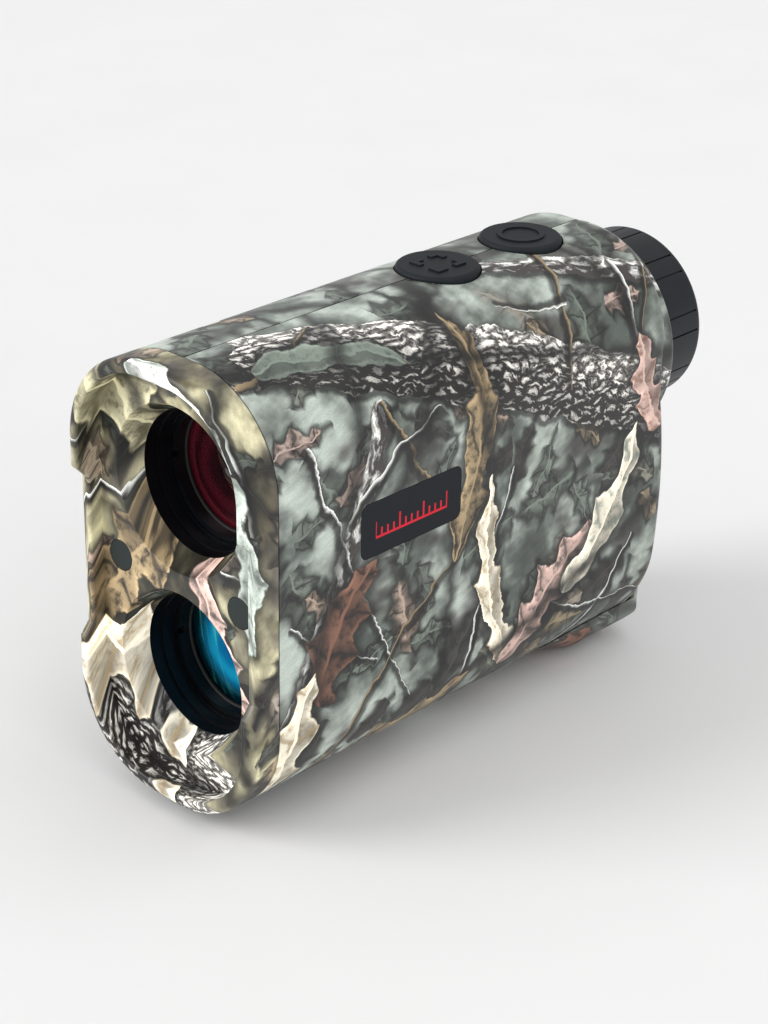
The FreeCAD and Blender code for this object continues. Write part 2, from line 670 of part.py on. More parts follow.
def prism_pair():
    """In-line erecting prisms: a half penta prism and a roof prism with a thin air gap."""
    h, y0, z0, gap = PRISM_HALF, PRISM_Y, UPPER_Z, PRISM_AIR_GAP
    reach = 2.02 * h
    lean = math.tan(math.radians(22.5))
    first = face_yz([(y0, z0 - h), (y0, z0 + h), (y0 + reach, z0 + h - reach),
                     (y0 + reach, z0 - h - lean * reach)], -h)
    second = face_yz([(y0 + gap, z0 + h), (y0 + reach, z0 + h - reach + gap),
                      (y0 + reach, z0 + h + lean * reach)], -h)
    across = Vector(2 * h, 0, 0)
    slab = second.extrude(across)
    low = 30.0
    roof = Part.Face(Part.makePolygon([Vector(-h, -1, low), Vector(h, -1, low), Vector(h, -1, z0 + h - 4),
                                       Vector(0, -1, z0 + 2 * h - 4), Vector(-h, -1, z0 + h - 4),
                                       Vector(-h, -1, low)]))
    roof_solid = roof.translated(Vector(0, y0, 0)).extrude(Vector(0, reach + 2, lean * (reach + 2)))
    return first.extrude(across), slab.common(roof_solid)


def prism_carrier():
    y = (PRISM_Y - 1.4, PRISM_Y + 2.02 * PRISM_HALF + 1.6)
    frame = box((-CARRIER_X, CARRIER_X), y, CARRIER_Z)
    frame = frame.cut(box((-PRISM_HALF - 0.1, PRISM_HALF + 0.1), (y[0] + 1.2, y[1] - 1.2), (0, 100)))
    return frame.cut(rod_y(PRISM_HALF - 0.4, (y[0] - 1, y[1] + 1), UPPER_Z))


def prism_clamp():
    z = CARRIER_Z[1]
    return box((-CARRIER_X, CARRIER_X), (PRISM_Y + 0.6, PRISM_Y + 3.2), (z + 0.02, z + 0.42))


def display_glass():
    half = DISPLAY_HALF
    return box((-half, half), (DISPLAY_Y, DISPLAY_Y + DISPLAY_THICK), (UPPER_Z - half, UPPER_Z + half))


def display_frame():
    block = box((-8.6, 8.6), (DISPLAY_Y - 1.2, DISPLAY_Y + 2.6), (UPPER_Z - 8.4, UPPER_Z + 8.4))
    edge = DISPLAY_HALF + 0.05
    seat = box((-edge, edge), (DISPLAY_Y, DISPLAY_Y + 4), (UPPER_Z - edge, UPPER_Z + edge))
    return block.cut(seat).cut(rod_y(5.4, (DISPLAY_Y - 5, DISPLAY_Y + 5), UPPER_Z))


def laser_holder():
    wing = box((-CARRIER_X, CARRIER_X), (LASER_Y - 2.5, LASER_Y + 2.5), (34.2, 35.6))
    holder = rod_z(4.2, (26.6, 35.6), 0, LASER_Y).fuse(wing)
    return holder.cut(rod_z(LASER_CAN_R + 0.05, (20, 33.0), 0, LASER_Y)).cut(rod_z(1.6, (20, 40), 0, LASER_Y))


def laser_diode():
    can = rod_z(LASER_CAN_R, (31.4, 32.6), 0, LASER_Y).fuse(rod_z(2.3, (30.2, 31.4), 0, LASER_Y))
    pins = [rod_z(PIN_R, (28.2, 30.3), 1.2 * math.cos(a), LASER_Y + 1.2 * math.sin(a))
            for a in (0.5, 2.6, 4.7)]
    return fuse_all([can] + pins)


def receiver_holder():
    """Cone-nosed carrier of the photodiode at the rear of the receiver barrel."""
    flange = rod_y(BARREL_R, (BARREL_END_Y + 0.02, BARREL_END_Y + 2), LOWER_Z)
    snout = rod_y(5.4, (BARREL_END_Y + 1, 6.0), LOWER_Z)
    holder = flange.fuse(snout)
    holder = holder.cut(cone_y(5.0, 3.4, (BARREL_END_Y - 0.1, 0.5), LOWER_Z))
    holder = holder.cut(rod_y(3.4, (0.4, 10), LOWER_Z))
    return holder.cut(rod_y(DIODE_FLANGE_R + 0.05, (1.6, 10), LOWER_Z))


def receiver_filter():
    return rod_y(DIODE_FLANGE_R, (1.62, 2.6), LOWER_Z)


def photodiode():
    can = rod_y(DIODE_FLANGE_R, (5.0, 5.6), LOWER_Z).fuse(rod_y(DIODE_CAN_R, (2.8, 5.0), LOWER_Z))
    window = can.cut(rod_y(1.6, (2.7, 3.2), LOWER_Z))
    pins = [rod_y(PIN_R, (5.5, 9.0), LOWER_Z + dz, dx) for dx, dz in ((2, 0), (-2, 0), (0, 2))]
    return fuse_all([window] + pins)


# ---------------------------------------------------------------- boards

def main_board():
    """Board on the right wall with its processor, timer and capacitors."""
    board = box((-15.6, -14.4), (-3.0, 29.0), (15.0, 46.0))
    board = board.cut(rod_x(BOSS_R + 0.6, (-20, 0), SHELL_SCREWS[1][0], SHELL_SCREWS[1][1]))
    chips = [box((-14.5, -13.3), (10.0, 17.0), (20.0, 27.0)), box((-14.5, -13.5), (0.0, 5.0), (38.0, 43.0)),
             box((-14.5, -12.9), (22.0, 25.0), (20.0, 22.5)), box((-14.5, -12.9), (22.0, 25.0), (25.0, 27.5))]
    return fuse_all([board] + chips)


def driver_board():
    """Board on the left wall with the laser driver, its coil and charge capacitor."""
    board = box((14.4, 15.6), (-3.0, 27.0), (17.0, 44.0))
    board = board.cut(rod_x(BOSS_R + 0.6, (0, 20), SHELL_SCREWS[1][0], SHELL_SCREWS[1][1]))
    coil = rod_x(3.4, (11.4, 14.5), 20.0, 24.0)
    capacitor = rod_z(2.6, (20.0, 31.0), 11.9, 9.0)
    return fuse_all([board, coil, capacitor, box((13.4, 14.5), (0.0, 4.0), (36.0, 40.0))])


def flex_cable():
    """Ribbon from the main board to the display."""
    points = [(-14.3, 27.6), (-14.3, 26.2), (-8.7, 26.2), (-8.7, 26.4), (-14.05, 26.4), (-14.05, 27.6)]
    corners = [Vector(x, y, 42.0) for x, y in points]
    return Part.Face(Part.makePolygon(corners + corners[:1])).extrude(Vector(0, 0, 4.0))


# ---------------------------------------------------------------- eyepiece

def drive_pin_path():
    """Stretch of Y that the drive pin sweeps, with a little room at each end."""
    reach = DRIVE_PIN_R + DIOPTER_TRAVEL + 0.1
    return (DRIVE_PIN_Y - reach, DRIVE_PIN_Y + reach)


def eyepiece_sleeve():
    """Fixed sleeve in the rear wall, with an o-ring groove and an axial slot for the drive pin."""
    sleeve = tube_y(SLEEVE_R, SLEEVE_BORE_R, SLEEVE_Y, UPPER_Z)
    groove = tube_y(SLEEVE_R + 1, SLEEVE_R - 0.9, (54.6, 55.6), UPPER_Z)
    slot = box((-0.9, 0.9), drive_pin_path(), (UPPER_Z + 8, UPPER_Z + 20))
    return sleeve.cut(groove).cut(slot)


def eyepiece_cell():
    """Sliding lens cell, stepped inside for the two lenses and the spacer."""
    cell = tube_y(CELL_R, 10.0, (44.5, 60.4), UPPER_Z)
    stop = tube_y(10.2, 8.8, (60.0, 60.4), UPPER_Z)
    return cell.fuse(stop).cut(rod_z(DRIVE_PIN_R, (UPPER_Z + 10.1, UPPER_Z + 12), 0, DRIVE_PIN_Y))


def drive_pin():
    return rod_z(DRIVE_PIN_R, (UPPER_Z + 10.1, UPPER_Z + 13.2), 0, DRIVE_PIN_Y)


def grip_grooves():
    """Shallow axial grooves in pairs round the ring."""
    grooves = []
    for i in range(GRIP_PAIRS):
        for side in (-0.5, 0.5):
            groove = box((-GROOVE_WIDTH / 2, GROOVE_WIDTH / 2), (RING_Y[0] + 0.7, RING_Y[1] - 1.2),
                         (RING_R - GROOVE_DEPTH, RING_R + 1))
            turned = groove.rotated(Vector(), Y_AXIS, 360.0 * i / GRIP_PAIRS + side * GRIP_PAIR_ANGLE)
            grooves.append(turned.translated(Vector(0, 0, UPPER_Z)))
    return grooves


def diopter_ring():
    """Grooved grip ring; an inner recess drives the pin of the lens cell."""
    ring = rod_y(RING_R, RING_Y, UPPER_Z)
    ring = fillet_where(ring, 1.1, lambda e: e.BoundBox.YMin > RING_Y[1] - 0.1)
    ring = fillet_where(ring, 0.3, lambda e: e.BoundBox.YMax < RING_Y[0] + 0.1)
    ring = ring.cut(rod_y(RING_BORE_R, (RING_Y[0] - 1, RING_BORE_END_Y + 1), UPPER_Z))
    ring = ring.cut(rod_y(CUP_R, (RING_BORE_END_Y, RING_Y[1] + 1), UPPER_Z))
    ring = ring.cut(rod_y(13.5, drive_pin_path(), UPPER_Z))
    return cut_all(ring, grip_grooves())


def eyecup():
    """Rubber cup seated in the rear of the ring, rounded at its lip and flared inside."""
    cup = rod_y(CUP_R - 0.02, (RING_BORE_END_Y + 0.02, EYECUP_END_Y), UPPER_Z)
    cup = fillet_where(cup, 0.5, lambda e: e.BoundBox.YMin > EYECUP_END_Y - 0.1)
    cup = cup.cut(rod_y(10.2, (RING_BORE_END_Y - 1, EYECUP_END_Y + 1), UPPER_Z))
    return cup.cut(cone_y(10.1, 11.9, (RING_BORE_END_Y + 0.5, EYECUP_END_Y + 0.1), UPPER_Z))


# ---------------------------------------------------------------- power

def battery():
    can = rod_x(BATTERY_R, (-13.5, 12.7), BATTERY_Y, BATTERY_Z)
    can = fillet_where(can, 0.6, lambda e: e.BoundBox.XLength < 0.01)
    return can.fuse(rod_x(2.6, (12.6, 13.5), BATTERY_Y, BATTERY_Z))


def battery_plate():
    return box((13.55, 14.15), (BATTERY_Y - 4, BATTERY_Y + 4), (BATTERY_Z - 3, BATTERY_Z + 6))


def battery_spring():
    """Flat negative contact with a raised centre."""
    return box((-14.2, -13.9), (BATTERY_Y - 4, BATTERY_Y + 4), (BATTERY_Z - 3, BATTERY_Z + 6)).fuse(
        Part.makeCone(3.2, 1.8, 0.36, Vector(-13.9, BATTERY_Y, BATTERY_Z), X_AXIS))


def battery_door():
    """Hollow heel that closes the battery bay, with the middle hinge knuckle."""
    panel = heel().cut(heel(HEEL_WALL))
    body = prism_y(section(SEAM_Y, -DOOR_GAP), 100).common(rear_profile(-DOOR_GAP))
    body = body.cut(box((-8.7, 8.7), (20, HINGE_Y + 2.7), (-5, HINGE_Z + 0.3)))
    panel = panel.cut(body)
    panel = panel.cut(hinge_rod(HINGE_R + 0.35, -6.4, 6.4))
    panel = max(panel.Solids, key=lambda solid: solid.Volume)
    knuckle = (-DOOR_KNUCKLE_X, DOOR_KNUCKLE_X)
    arm = box(knuckle, (HINGE_Y, HINGE_Y + 2.7), (HINGE_Z - HINGE_R, HINGE_Z - 0.2))
    whole = fuse_all([panel, arm, hinge_rod(HINGE_R, *knuckle)])
    return whole.cut(hinge_rod(HINGE_PIN_R + 0.05, -4, 4))


def door_pad():
    """Rubber pad on the inside of the door that steadies the battery."""
    pad = box((-5.0, 5.0), (36.0, 45.0), (HEEL_BOTTOM + HEEL_WALL - 1, BATTERY_Z - BATTERY_R - 0.4))
    pad = pad.cut(rod_x(BATTERY_R + 0.3, (-10, 10), BATTERY_Y, BATTERY_Z))
    return pad.common(heel(HEEL_WALL + 0.01))


def door_pin():
    return hinge_rod(HINGE_PIN_R, -5.9, 5.9)


# ---------------------------------------------------------------- write the nodes

def main():
    save("left_shell", shell(1))
    save("right_shell", shell(-1))
    save("front_bezel", front_bezel())
    save("name_plate", name_plate())
    save("screw_plugs", screw_plugs())
    save("bezel_screws", bezel_screws())
    save("shell_screws", shell_screws())
    save("screw_inserts", screw_inserts())
    save("tripod_insert", tripod_insert())
    save("lanyard_pin", lanyard_pin())

    for name, y in BUTTON_YS.items():
        save(name + "_button", button(y, name == "measure"))
        save(name + "_plunger", switch_plunger(y))
    save("key_switches", key_switches())
    save("key_board", key_board())
    save("keypad_seal", keypad_seal())

    save("objective_barrel", lens_barrel(UPPER_Z))
    save("objective_crown", lens(UPPER_Z, LENS_FRONT_Y + 1.1, -25.2, LENS_R, 1.1, 0.5))
    save("objective_flint", lens(UPPER_Z, -25.18, LENS_SEAT_Y, LENS_R, -0.5, 0.0))
    save("objective_retainer", retainer(UPPER_Z))
    save("objective_o_ring", o_ring(UPPER_Z, -27.1, 10.0, 0.4))
    save("receiver_barrel", lens_barrel(LOWER_Z))
    save("receiver_lens", lens(LOWER_Z, LENS_FRONT_Y + 1.6, LENS_SEAT_Y, LENS_R, 1.5, 0.0))
    save("receiver_retainer", retainer(LOWER_Z))
    save("receiver_o_ring", o_ring(LOWER_Z, -27.1, 10.0, 0.4))

    first, second = prism_pair()
    save("half_penta_prism", first)
    save("roof_prism", second)
    save("prism_carrier", prism_carrier())
    save("prism_clamp", prism_clamp())
    save("display_glass", display_glass())
    save("display_frame", display_frame())
    save("laser_holder", laser_holder())
    save("laser_diode", laser_diode())
    save("receiver_holder", receiver_holder())
    save("receiver_filter", receiver_filter())
    save("photodiode", photodiode())
    save("main_board", main_board())
    save("driver_board", driver_board())
    save("flex_cable", flex_cable())

    save("eyepiece_sleeve", eyepiece_sleeve())
    save("eyepiece_cell", eyepiece_cell())
    save("field_lens", lens(UPPER_Z, 46.0, 48.6, 9.95, 0.9, 0.9))
    save("lens_spacer", tube_y(9.95, 9.0, (49.6, 55.0), UPPER_Z))
    save("eye_lens", lens(UPPER_Z, 56.2, 58.6, 9.95, 1.0, 1.0))
    save("drive_pin", drive_pin())
    save("diopter_o_ring", o_ring(UPPER_Z, 55.1, 12.18, 0.45))
    save("diopter_ring", diopter_ring())
    save("eyecup", eyecup())

    save("battery", battery())
    save("battery_plate", battery_plate())
    save("battery_spring", battery_spring())
    save("battery_door", battery_door())
    save("door_pad", door_pad())
    save("door_pin", door_pin())


main()
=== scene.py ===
import math

import bpy
from mathutils import Matrix, Vector


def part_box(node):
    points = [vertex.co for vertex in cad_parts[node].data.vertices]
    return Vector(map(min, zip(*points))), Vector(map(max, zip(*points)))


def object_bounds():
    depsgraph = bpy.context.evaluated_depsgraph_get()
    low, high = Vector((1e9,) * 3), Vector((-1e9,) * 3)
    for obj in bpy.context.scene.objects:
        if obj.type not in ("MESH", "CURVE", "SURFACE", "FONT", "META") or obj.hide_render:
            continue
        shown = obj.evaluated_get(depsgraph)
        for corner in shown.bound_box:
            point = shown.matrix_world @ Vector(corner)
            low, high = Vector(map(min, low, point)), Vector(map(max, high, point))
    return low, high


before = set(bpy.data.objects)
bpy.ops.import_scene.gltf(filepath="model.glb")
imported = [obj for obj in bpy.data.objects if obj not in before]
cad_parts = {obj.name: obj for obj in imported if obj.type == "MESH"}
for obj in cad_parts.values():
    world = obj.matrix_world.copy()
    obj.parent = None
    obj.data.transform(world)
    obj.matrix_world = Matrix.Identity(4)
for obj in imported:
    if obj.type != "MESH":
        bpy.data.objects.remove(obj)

MM = 0.001
CAD_BOUNDS = [list(corner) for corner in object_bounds()]

# Places that the finishes share, in metres. All but the corner radius are read from the CAD frame.
LEFT_LOW, LEFT_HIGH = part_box("left_shell")
BEZEL_LOW, BEZEL_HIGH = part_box("front_bezel")
PLATE_LOW, PLATE_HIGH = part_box("name_plate")
HALF_WIDTH = LEFT_HIGH.x
HEIGHT = BEZEL_HIGH.z
CORNER_R = 16.3 * MM     # of the body's section, seen along Y
SEAM_Y = LEFT_LOW.y
FRONT_Y = BEZEL_LOW.y
UPPER_LOW, UPPER_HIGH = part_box("objective_crown")
LOWER_LOW, LOWER_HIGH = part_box("receiver_lens")
UPPER_Z = (UPPER_LOW.z + UPPER_HIGH.z) / 2
LOWER_Z = (LOWER_LOW.z + LOWER_HIGH.z) / 2


# ---------------------------------------------------------------- shader arithmetic

class Field:
    """A shader value that is written as ordinary arithmetic."""

    def __init__(self, shader, socket):
        self.shader = shader
        self.socket = socket

    def __add__(self, other):
        return self.shader.math("ADD", self, other)

    def __radd__(self, other):
        return self.shader.math("ADD", other, self)

    def __sub__(self, other):
        return self.shader.math("SUBTRACT", self, other)

    def __rsub__(self, other):
        return self.shader.math("SUBTRACT", other, self)

    def __mul__(self, other):
        return self.shader.math("MULTIPLY", self, other)

    def __rmul__(self, other):
        return self.shader.math("MULTIPLY", other, self)

    def __truediv__(self, other):
        return self.shader.math("DIVIDE", self, other)

    def __abs__(self):
        return self.shader.math("ABSOLUTE", self)

    def __pow__(self, other):
        return self.shader.math("POWER", self, other)


class Shader:
    """Adds nodes to one node tree."""

    def __init__(self, tree):
        self.tree = tree

    def feed(self, socket, value):
        """Links a Field to a socket, or sets a plain value on it."""
        if isinstance(value, Field):
            self.tree.links.new(value.socket, socket)
        else:
            socket.default_value = value

    def node(self, kind, inputs, **settings):
        """A new node with its settings and its inputs."""
        made = self.tree.nodes.new(kind)
        for name, value in settings.items():
            setattr(made, name, value)
        for key, value in inputs.items():
            self.feed(made.inputs[key], value)
        return made

    def out(self, node, name):
        return Field(self, node.outputs[name])

    def math(self, operation, *values):
        inputs = dict(enumerate(values))
        return self.out(self.node("ShaderNodeMath", inputs, operation=operation), "Value")

    def cos(self, x):
        return self.math("COSINE", x) if isinstance(x, Field) else math.cos(x)

    def sin(self, x):
        return self.math("SINE", x) if isinstance(x, Field) else math.sin(x)

    def low(self, a, b):
        return self.math("MINIMUM", a, b)

    def high(self, a, b):
        return self.math("MAXIMUM", a, b)

    def smooth(self, start, end, x):
        """0 before start, 1 after end, with a soft step between."""
        made = self.node("ShaderNodeMapRange", {"Value": x, "From Min": start, "From Max": end},
                         interpolation_type="SMOOTHSTEP")
        return self.out(made, "Result")

    def clamp(self, x):
        return self.out(self.node("ShaderNodeClamp", {"Value": x}), "Result")

    def vector(self, x, y, z=0.0):
        return self.out(self.node("ShaderNodeCombineXYZ", {"X": x, "Y": y, "Z": z}), "Vector")

    def noise(self, place, scale, detail=2.0, rough=0.5):
        made = self.node("ShaderNodeTexNoise", {"Vector": place, "Scale": scale, "Detail": detail,
                                                "Roughness": rough})
        return self.out(made, "Fac")

    def cells(self, place, scale, feature="F1"):
        """Flat cells round scattered points."""
        return self.node("ShaderNodeTexVoronoi", {"Vector": place, "Scale": scale},
                         feature=feature, voronoi_dimensions="2D")

    def mix(self, a, b, amount):
        """Colour a, going over to colour b."""
        made = self.node("ShaderNodeMix", {0: amount, 6: a, 7: b}, data_type="RGBA")
        return Field(self, made.outputs[2])

    def shade(self, colour, amount):
        """Colour times a grey value."""
        made = self.node("ShaderNodeVectorMath", {0: colour, 3: amount}, operation="SCALE")
        return self.out(made, "Vector")

    def split(self, vector):
        made = self.node("ShaderNodeSeparateXYZ", {"Vector": vector})
        return [self.out(made, axis) for axis in "XYZ"]

    def place(self):
        """A point of the object, in metres, in the row frame."""
        return self.out(self.node("ShaderNodeTexCoord", {}), "Object")

    def bump(self, height, strength, distance):
        made = self.node("ShaderNodeBump", {"Height": height, "Strength": strength,
                                            "Distance": distance})
        return self.out(made, "Normal")


def rgb(code):
    """Linear colour from a web colour code."""
    channels = [int(code[i:i + 2], 16) / 255 for i in (0, 2, 4)]
    linear = [c / 12.92 if c < 0.04045 else ((c + 0.055) / 1.055) ** 2.4 for c in channels]
    return (*linear, 1.0)


def new_material(name):
    """An empty node material with its Principled shader."""
    material = bpy.data.materials.new(name)
    material.use_nodes = True
    tree = material.node_tree
    principled = tree.nodes["Principled BSDF"]
    return material, Shader(tree), principled


# ---------------------------------------------------------------- woodland print
# The print is laid out on a flat film in millimetres, u along it and v across it. Angles are in radians.

TAU = 2 * math.pi
SAGE_LIGHT, SAGE_DARK = rgb("b4bab4"), rgb("686e69")
KHAKI_LIGHT, KHAKI_DARK = rgb("c3bfa8"), rgb("6e6957")
TAUPE, UMBER = rgb("54504e"), rgb("232221")
CREAM, TAN, ROSE, RUST = rgb("e2ddd0"), rgb("a99a80"), rgb("c9b4ac"), rgb("8d6f60")
LICHEN, CHALK = rgb("8a928a"), rgb("e4e5e1")
BARK_LIGHT, BARK_DARK = rgb("ebe9e4"), rgb("34312f")


def leaf(s, u, v, at, angle, length, width, lobes=3.5, lean=0.5, bend=0.0, soft=0.04):
    """Leaf with pointed lobes: how deep a point is in it, its veins, its puffed skin and its half."""
    c, n = s.cos(angle), s.sin(angle)
    du, dv = u - at[0], v - at[1]
    # From 0 at the stalk to 1 at the tip, and from -1 to 1 across the leaf, which bows by bend.
    along = s.clamp((du * c + dv * n) / length + 0.5)
    bow = (along - 0.5) * (along - 0.5) * (4 * bend)
    across = (dv * c - du * n) / width + bow
    reach = abs(across)
    # The side veins lean towards the tip, and each ends in the point of a lobe.
    phase = along * lobes - reach * lean
    taper = (along ** 0.5) * ((1 - along) ** 0.7) * 1.65
    puff = abs(s.sin(phase * math.pi))
    depth = taper * (1 - puff * 0.5) - reach
    cover = s.smooth(-soft * 0.3, soft, depth)
    shadow = s.smooth(-0.38, 0.06, depth) * 0.8
    rib = s.smooth(0.055, 0.02, reach)
    side = s.smooth(0.22, 0.05, puff) * 0.6
    edge = s.smooth(0.16, 0.02, depth)
    return cover, shadow, (rib, side), (puff, edge, s.smooth(-0.02, 0.02, across))


def stick(s, u, v, start, end, thick, bend=0.0, taper=0.6):
    """Bowed, tapering stick: its cover, its shadow, how high a point is on it, and its own frame."""
    du, dv = end[0] - start[0], end[1] - start[1]
    length = math.hypot(du, dv)
    c, n = du / length, dv / length
    # From 0 at its start to 1 at its end, and millimetres across it, which bow by bend.
    along = ((u - start[0]) * c + (v - start[1]) * n) / length
    held = s.clamp(along)
    across = (v - start[1]) * c - (u - start[0]) * n + held * (1 - held) * (4 * bend)
    half = (1 - held * taper) * (thick / 2)
    past = abs(along - held) * length
    depth = half - abs(across) - past * 3
    # The shadow falls half a millimetre to one side of the stick.
    cover = s.smooth(0.0, 0.14, depth)
    shadow = s.smooth(-0.9, 0.1, half - abs(across + 0.5) - past * 3) * 0.7
    lit = s.smooth(-1.0, 1.0, across / half)
    return cover, shadow, lit, (along * length, across)


def leaf_skin(s, tint, dark, mottle, veins, relief):
    """Dry leaf: blotched, darker along its side veins, lighter on its rib, edge and near half."""
    (rib, side), (puff, edge, half) = veins, relief
    skin = s.mix(tint, dark, mottle * 0.85)
    skin = s.shade(skin, puff * 0.3 + half * 0.34 + edge * 0.3 + 0.42)
    skin = s.mix(skin, dark, side)
    return s.mix(skin, tint, rib)


def paint_leaf(s, colour, u, v, mottle, tint, dark, **shape):
    """Lays one leaf over the print."""
    cover, shadow, veins, relief = leaf(s, u, v, **shape)
    colour = s.shade(colour, 1 - shadow)
    return s.mix(colour, leaf_skin(s, tint, dark, mottle, veins, relief), cover)


def paint_stick(s, colour, u, v, light, dark, **shape):
    """Lays one twig over the print."""
    cover, shadow, lit, _ = stick(s, u, v, **shape)
    colour = s.shade(colour, 1 - shadow)
    return s.mix(colour, s.mix(dark, light, lit), cover)


def paint_limb(s, colour, u, v, light, dark, ridge, **shape):
    """Lays one thick bark-covered limb over the print."""
    cover, shadow, lit, (run, across) = stick(s, u, v, taper=0.12, **shape)
    colour = s.shade(colour, 1 - shadow)
    bark = s.vector(run * (0.42 * ridge), across * ridge)
    warp = s.noise(bark, 0.9, 3.0, 0.6)
    place = s.vector(run * (0.42 * ridge) + warp * 2.2, across * ridge + warp * 1.6)
    crack = s.out(s.cells(place, 1.05, "DISTANCE_TO_EDGE"), "Distance")
    crumb = s.noise(bark, 3.4, 4.0, 0.75)
    plate = s.smooth(0.03, 0.42, crack + (crumb - 0.5) * 0.5)
    tone = s.clamp(plate * 0.85 + lit * 0.6 - 0.4 + (crumb - 0.5) * 1.1)
    return s.mix(colour, s.mix(dark, light, tone), cover)


# Layers of small leaves: cells to a millimetre, size of a leaf, blur of its edge, place of the layer.
LITTER = (
    dict(scale=0.07, length=13.5, width=5.6, lobes=3.5, soft=0.3, shift=0.0),
    dict(scale=0.11, length=9.0, width=3.4, lobes=2.5, soft=0.12, shift=31.0),
)
# The first limb of a print is the thick one in the foreground.
LIMBS = (
    dict(start=(-30, 77), end=(72, 33), thick=13.0, bend=-1.5),
    dict(start=(-40, 8), end=(-14, 62), thick=4.2, bend=1.6),
    dict(start=(10, 84), end=(62, 62), thick=4.6, bend=1.2),
)
FRONT_LIMBS = (dict(start=(34, -86), end=(56, -34), thick=15.0, bend=2.5),)
TWIGS = (
    dict(start=(-14, 62), end=(2, 40), thick=1.1, bend=1.4),
    dict(start=(-22, 46), end=(-2, 58), thick=1.2, bend=-2.0),
    dict(start=(-30, 60), end=(-8, 12), thick=0.9, bend=1.0),
    dict(start=(34, 80), end=(26, 52), thick=1.3, bend=1.0),
    dict(start=(30, 66), end=(16, 70), thick=0.9, bend=-1.2),
    dict(start=(44, 70), end=(46, 46), thick=1.4, bend=1.8),
    dict(start=(52, 74), end=(40, 50), thick=0.7, bend=-1.0),
    dict(start=(2, 2), end=(14, 44), thick=1.2, bend=-1.0),
    dict(start=(-4, -6), end=(8, 30), thick=0.8, bend=1.8),
    dict(start=(-26, 4), end=(2, 34), thick=1.0, bend=-2.4),
    dict(start=(18, -8), end=(44, 22), thick=1.3, bend=2.0),
    dict(start=(24, 16), end=(50, 10), thick=0.8, bend=1.2),
    dict(start=(-36, 72), end=(-16, 78), thick=1.5, bend=1.4),
    dict(start=(-34, 34), end=(-16, 22), thick=0.8, bend=0.8),
)
FRONT_TWIGS = (
    dict(start=(-26, -78), end=(-2, -44), thick=1.0, bend=2.2),
    dict(start=(-8, -82), end=(2, -56), thick=0.8, bend=-1.4),
    dict(start=(4, -80), end=(12, -40), thick=1.2, bend=1.8),
    dict(start=(14, -52), end=(34, -44), thick=0.8, bend=-1.0),
    dict(start=(26, -80), end=(20, -58), thick=0.9, bend=1.2),
    dict(start=(-4, -40), end=(-24, -50), thick=1.3, bend=1.6),
)
# Each leaf has its colour, the colour of its blotches and side veins, and its shape.
LEAVES = (
    (RUST, UMBER, dict(at=(-24, 30), angle=1.05, length=24, width=9.0, bend=0.25)),
    (TAN, UMBER, dict(at=(6, 52), angle=1.45, length=40, width=6.0, lobes=2.5, lean=0.9, bend=-0.5)),
    (CREAM, TAN, dict(at=(9, 26), angle=1.75, length=36, width=4.6, lobes=3.0, lean=0.9, bend=0.6)),
    (ROSE, TAUPE, dict(at=(24, 20), angle=0.75, length=30, width=7.0, lobes=4.5, bend=0.3)),
    (CREAM, LICHEN, dict(at=(38, 28), angle=0.95, length=30, width=6.4, lobes=2.5, bend=-0.4)),
    (TAN, TAUPE, dict(at=(-6, 4), angle=0.35, length=26, width=6.5, lobes=3.5, bend=-0.3)),
    (CREAM, TAN, dict(at=(48, 2), angle=0.6, length=26, width=7.5, lobes=3.5, bend=0.3)),
    (LICHEN, SAGE_DARK,
     dict(at=(-18, 72), angle=-0.25, length=26, width=6.0, lobes=1.0, lean=0.0, bend=0.3)),
    (ROSE, RUST, dict(at=(46, 48), angle=1.9, length=20, width=5.4, lobes=3.5, bend=0.2)),
    (CREAM, TAN, dict(at=(-34, 12), angle=1.3, length=28, width=8.0, lobes=3.5, bend=0.2)),
)
FRONT_LEAVES = (
    (KHAKI_LIGHT, KHAKI_DARK, dict(at=(-10, -70), angle=0.5, length=32, width=12.0, lobes=2.5, bend=0.2)),
    (TAN, UMBER, dict(at=(18, -70), angle=-0.7, length=36, width=11.0, lobes=3.5, bend=-0.3)),
    (CREAM, TAN, dict(at=(36, -68), angle=0.9, length=30, width=10.0, lobes=3.5, bend=0.25)),
    (CHALK, LICHEN, dict(at=(-19, -54), angle=1.1, length=24, width=6.0, lobes=1.5, bend=0.2)),
    (SAGE_LIGHT, SAGE_DARK, dict(at=(4, -43), angle=0.1, length=34, width=9.0, lobes=2.5, bend=0.2)),
    (ROSE, TAUPE, dict(at=(24, -50), angle=0.5, length=24, width=6.0, lobes=3.5, bend=-0.2)),
)


def ground(s, u, v, light, dark):
    """Out-of-focus backdrop of the print: sage, taupe shadow and blurred stems."""
    place = s.vector(u, v)
    soft = s.noise(place, 0.06, 4.0, 0.6)
    colour = s.mix(dark, light, s.smooth(0.38, 0.6, soft))
    patch = s.noise(s.vector(u + 40, v * 1.5), 0.05, 3.0, 0.55)
    colour = s.mix(colour, TAUPE, s.smooth(0.5, 0.64, patch) * 0.8)
    stems = s.out(s.cells(s.vector(u + v * 0.4, v * 0.6), 0.07, "DISTANCE_TO_EDGE"), "Distance")
    strands = s.noise(s.vector(u * 0.25 + v * 0.1, v - u * 0.4), 0.8, 3.0, 0.6)
    return s.shade(colour, s.smooth(-0.12, 0.2, stems) * 0.35 + strands * 0.5 + 0.4)


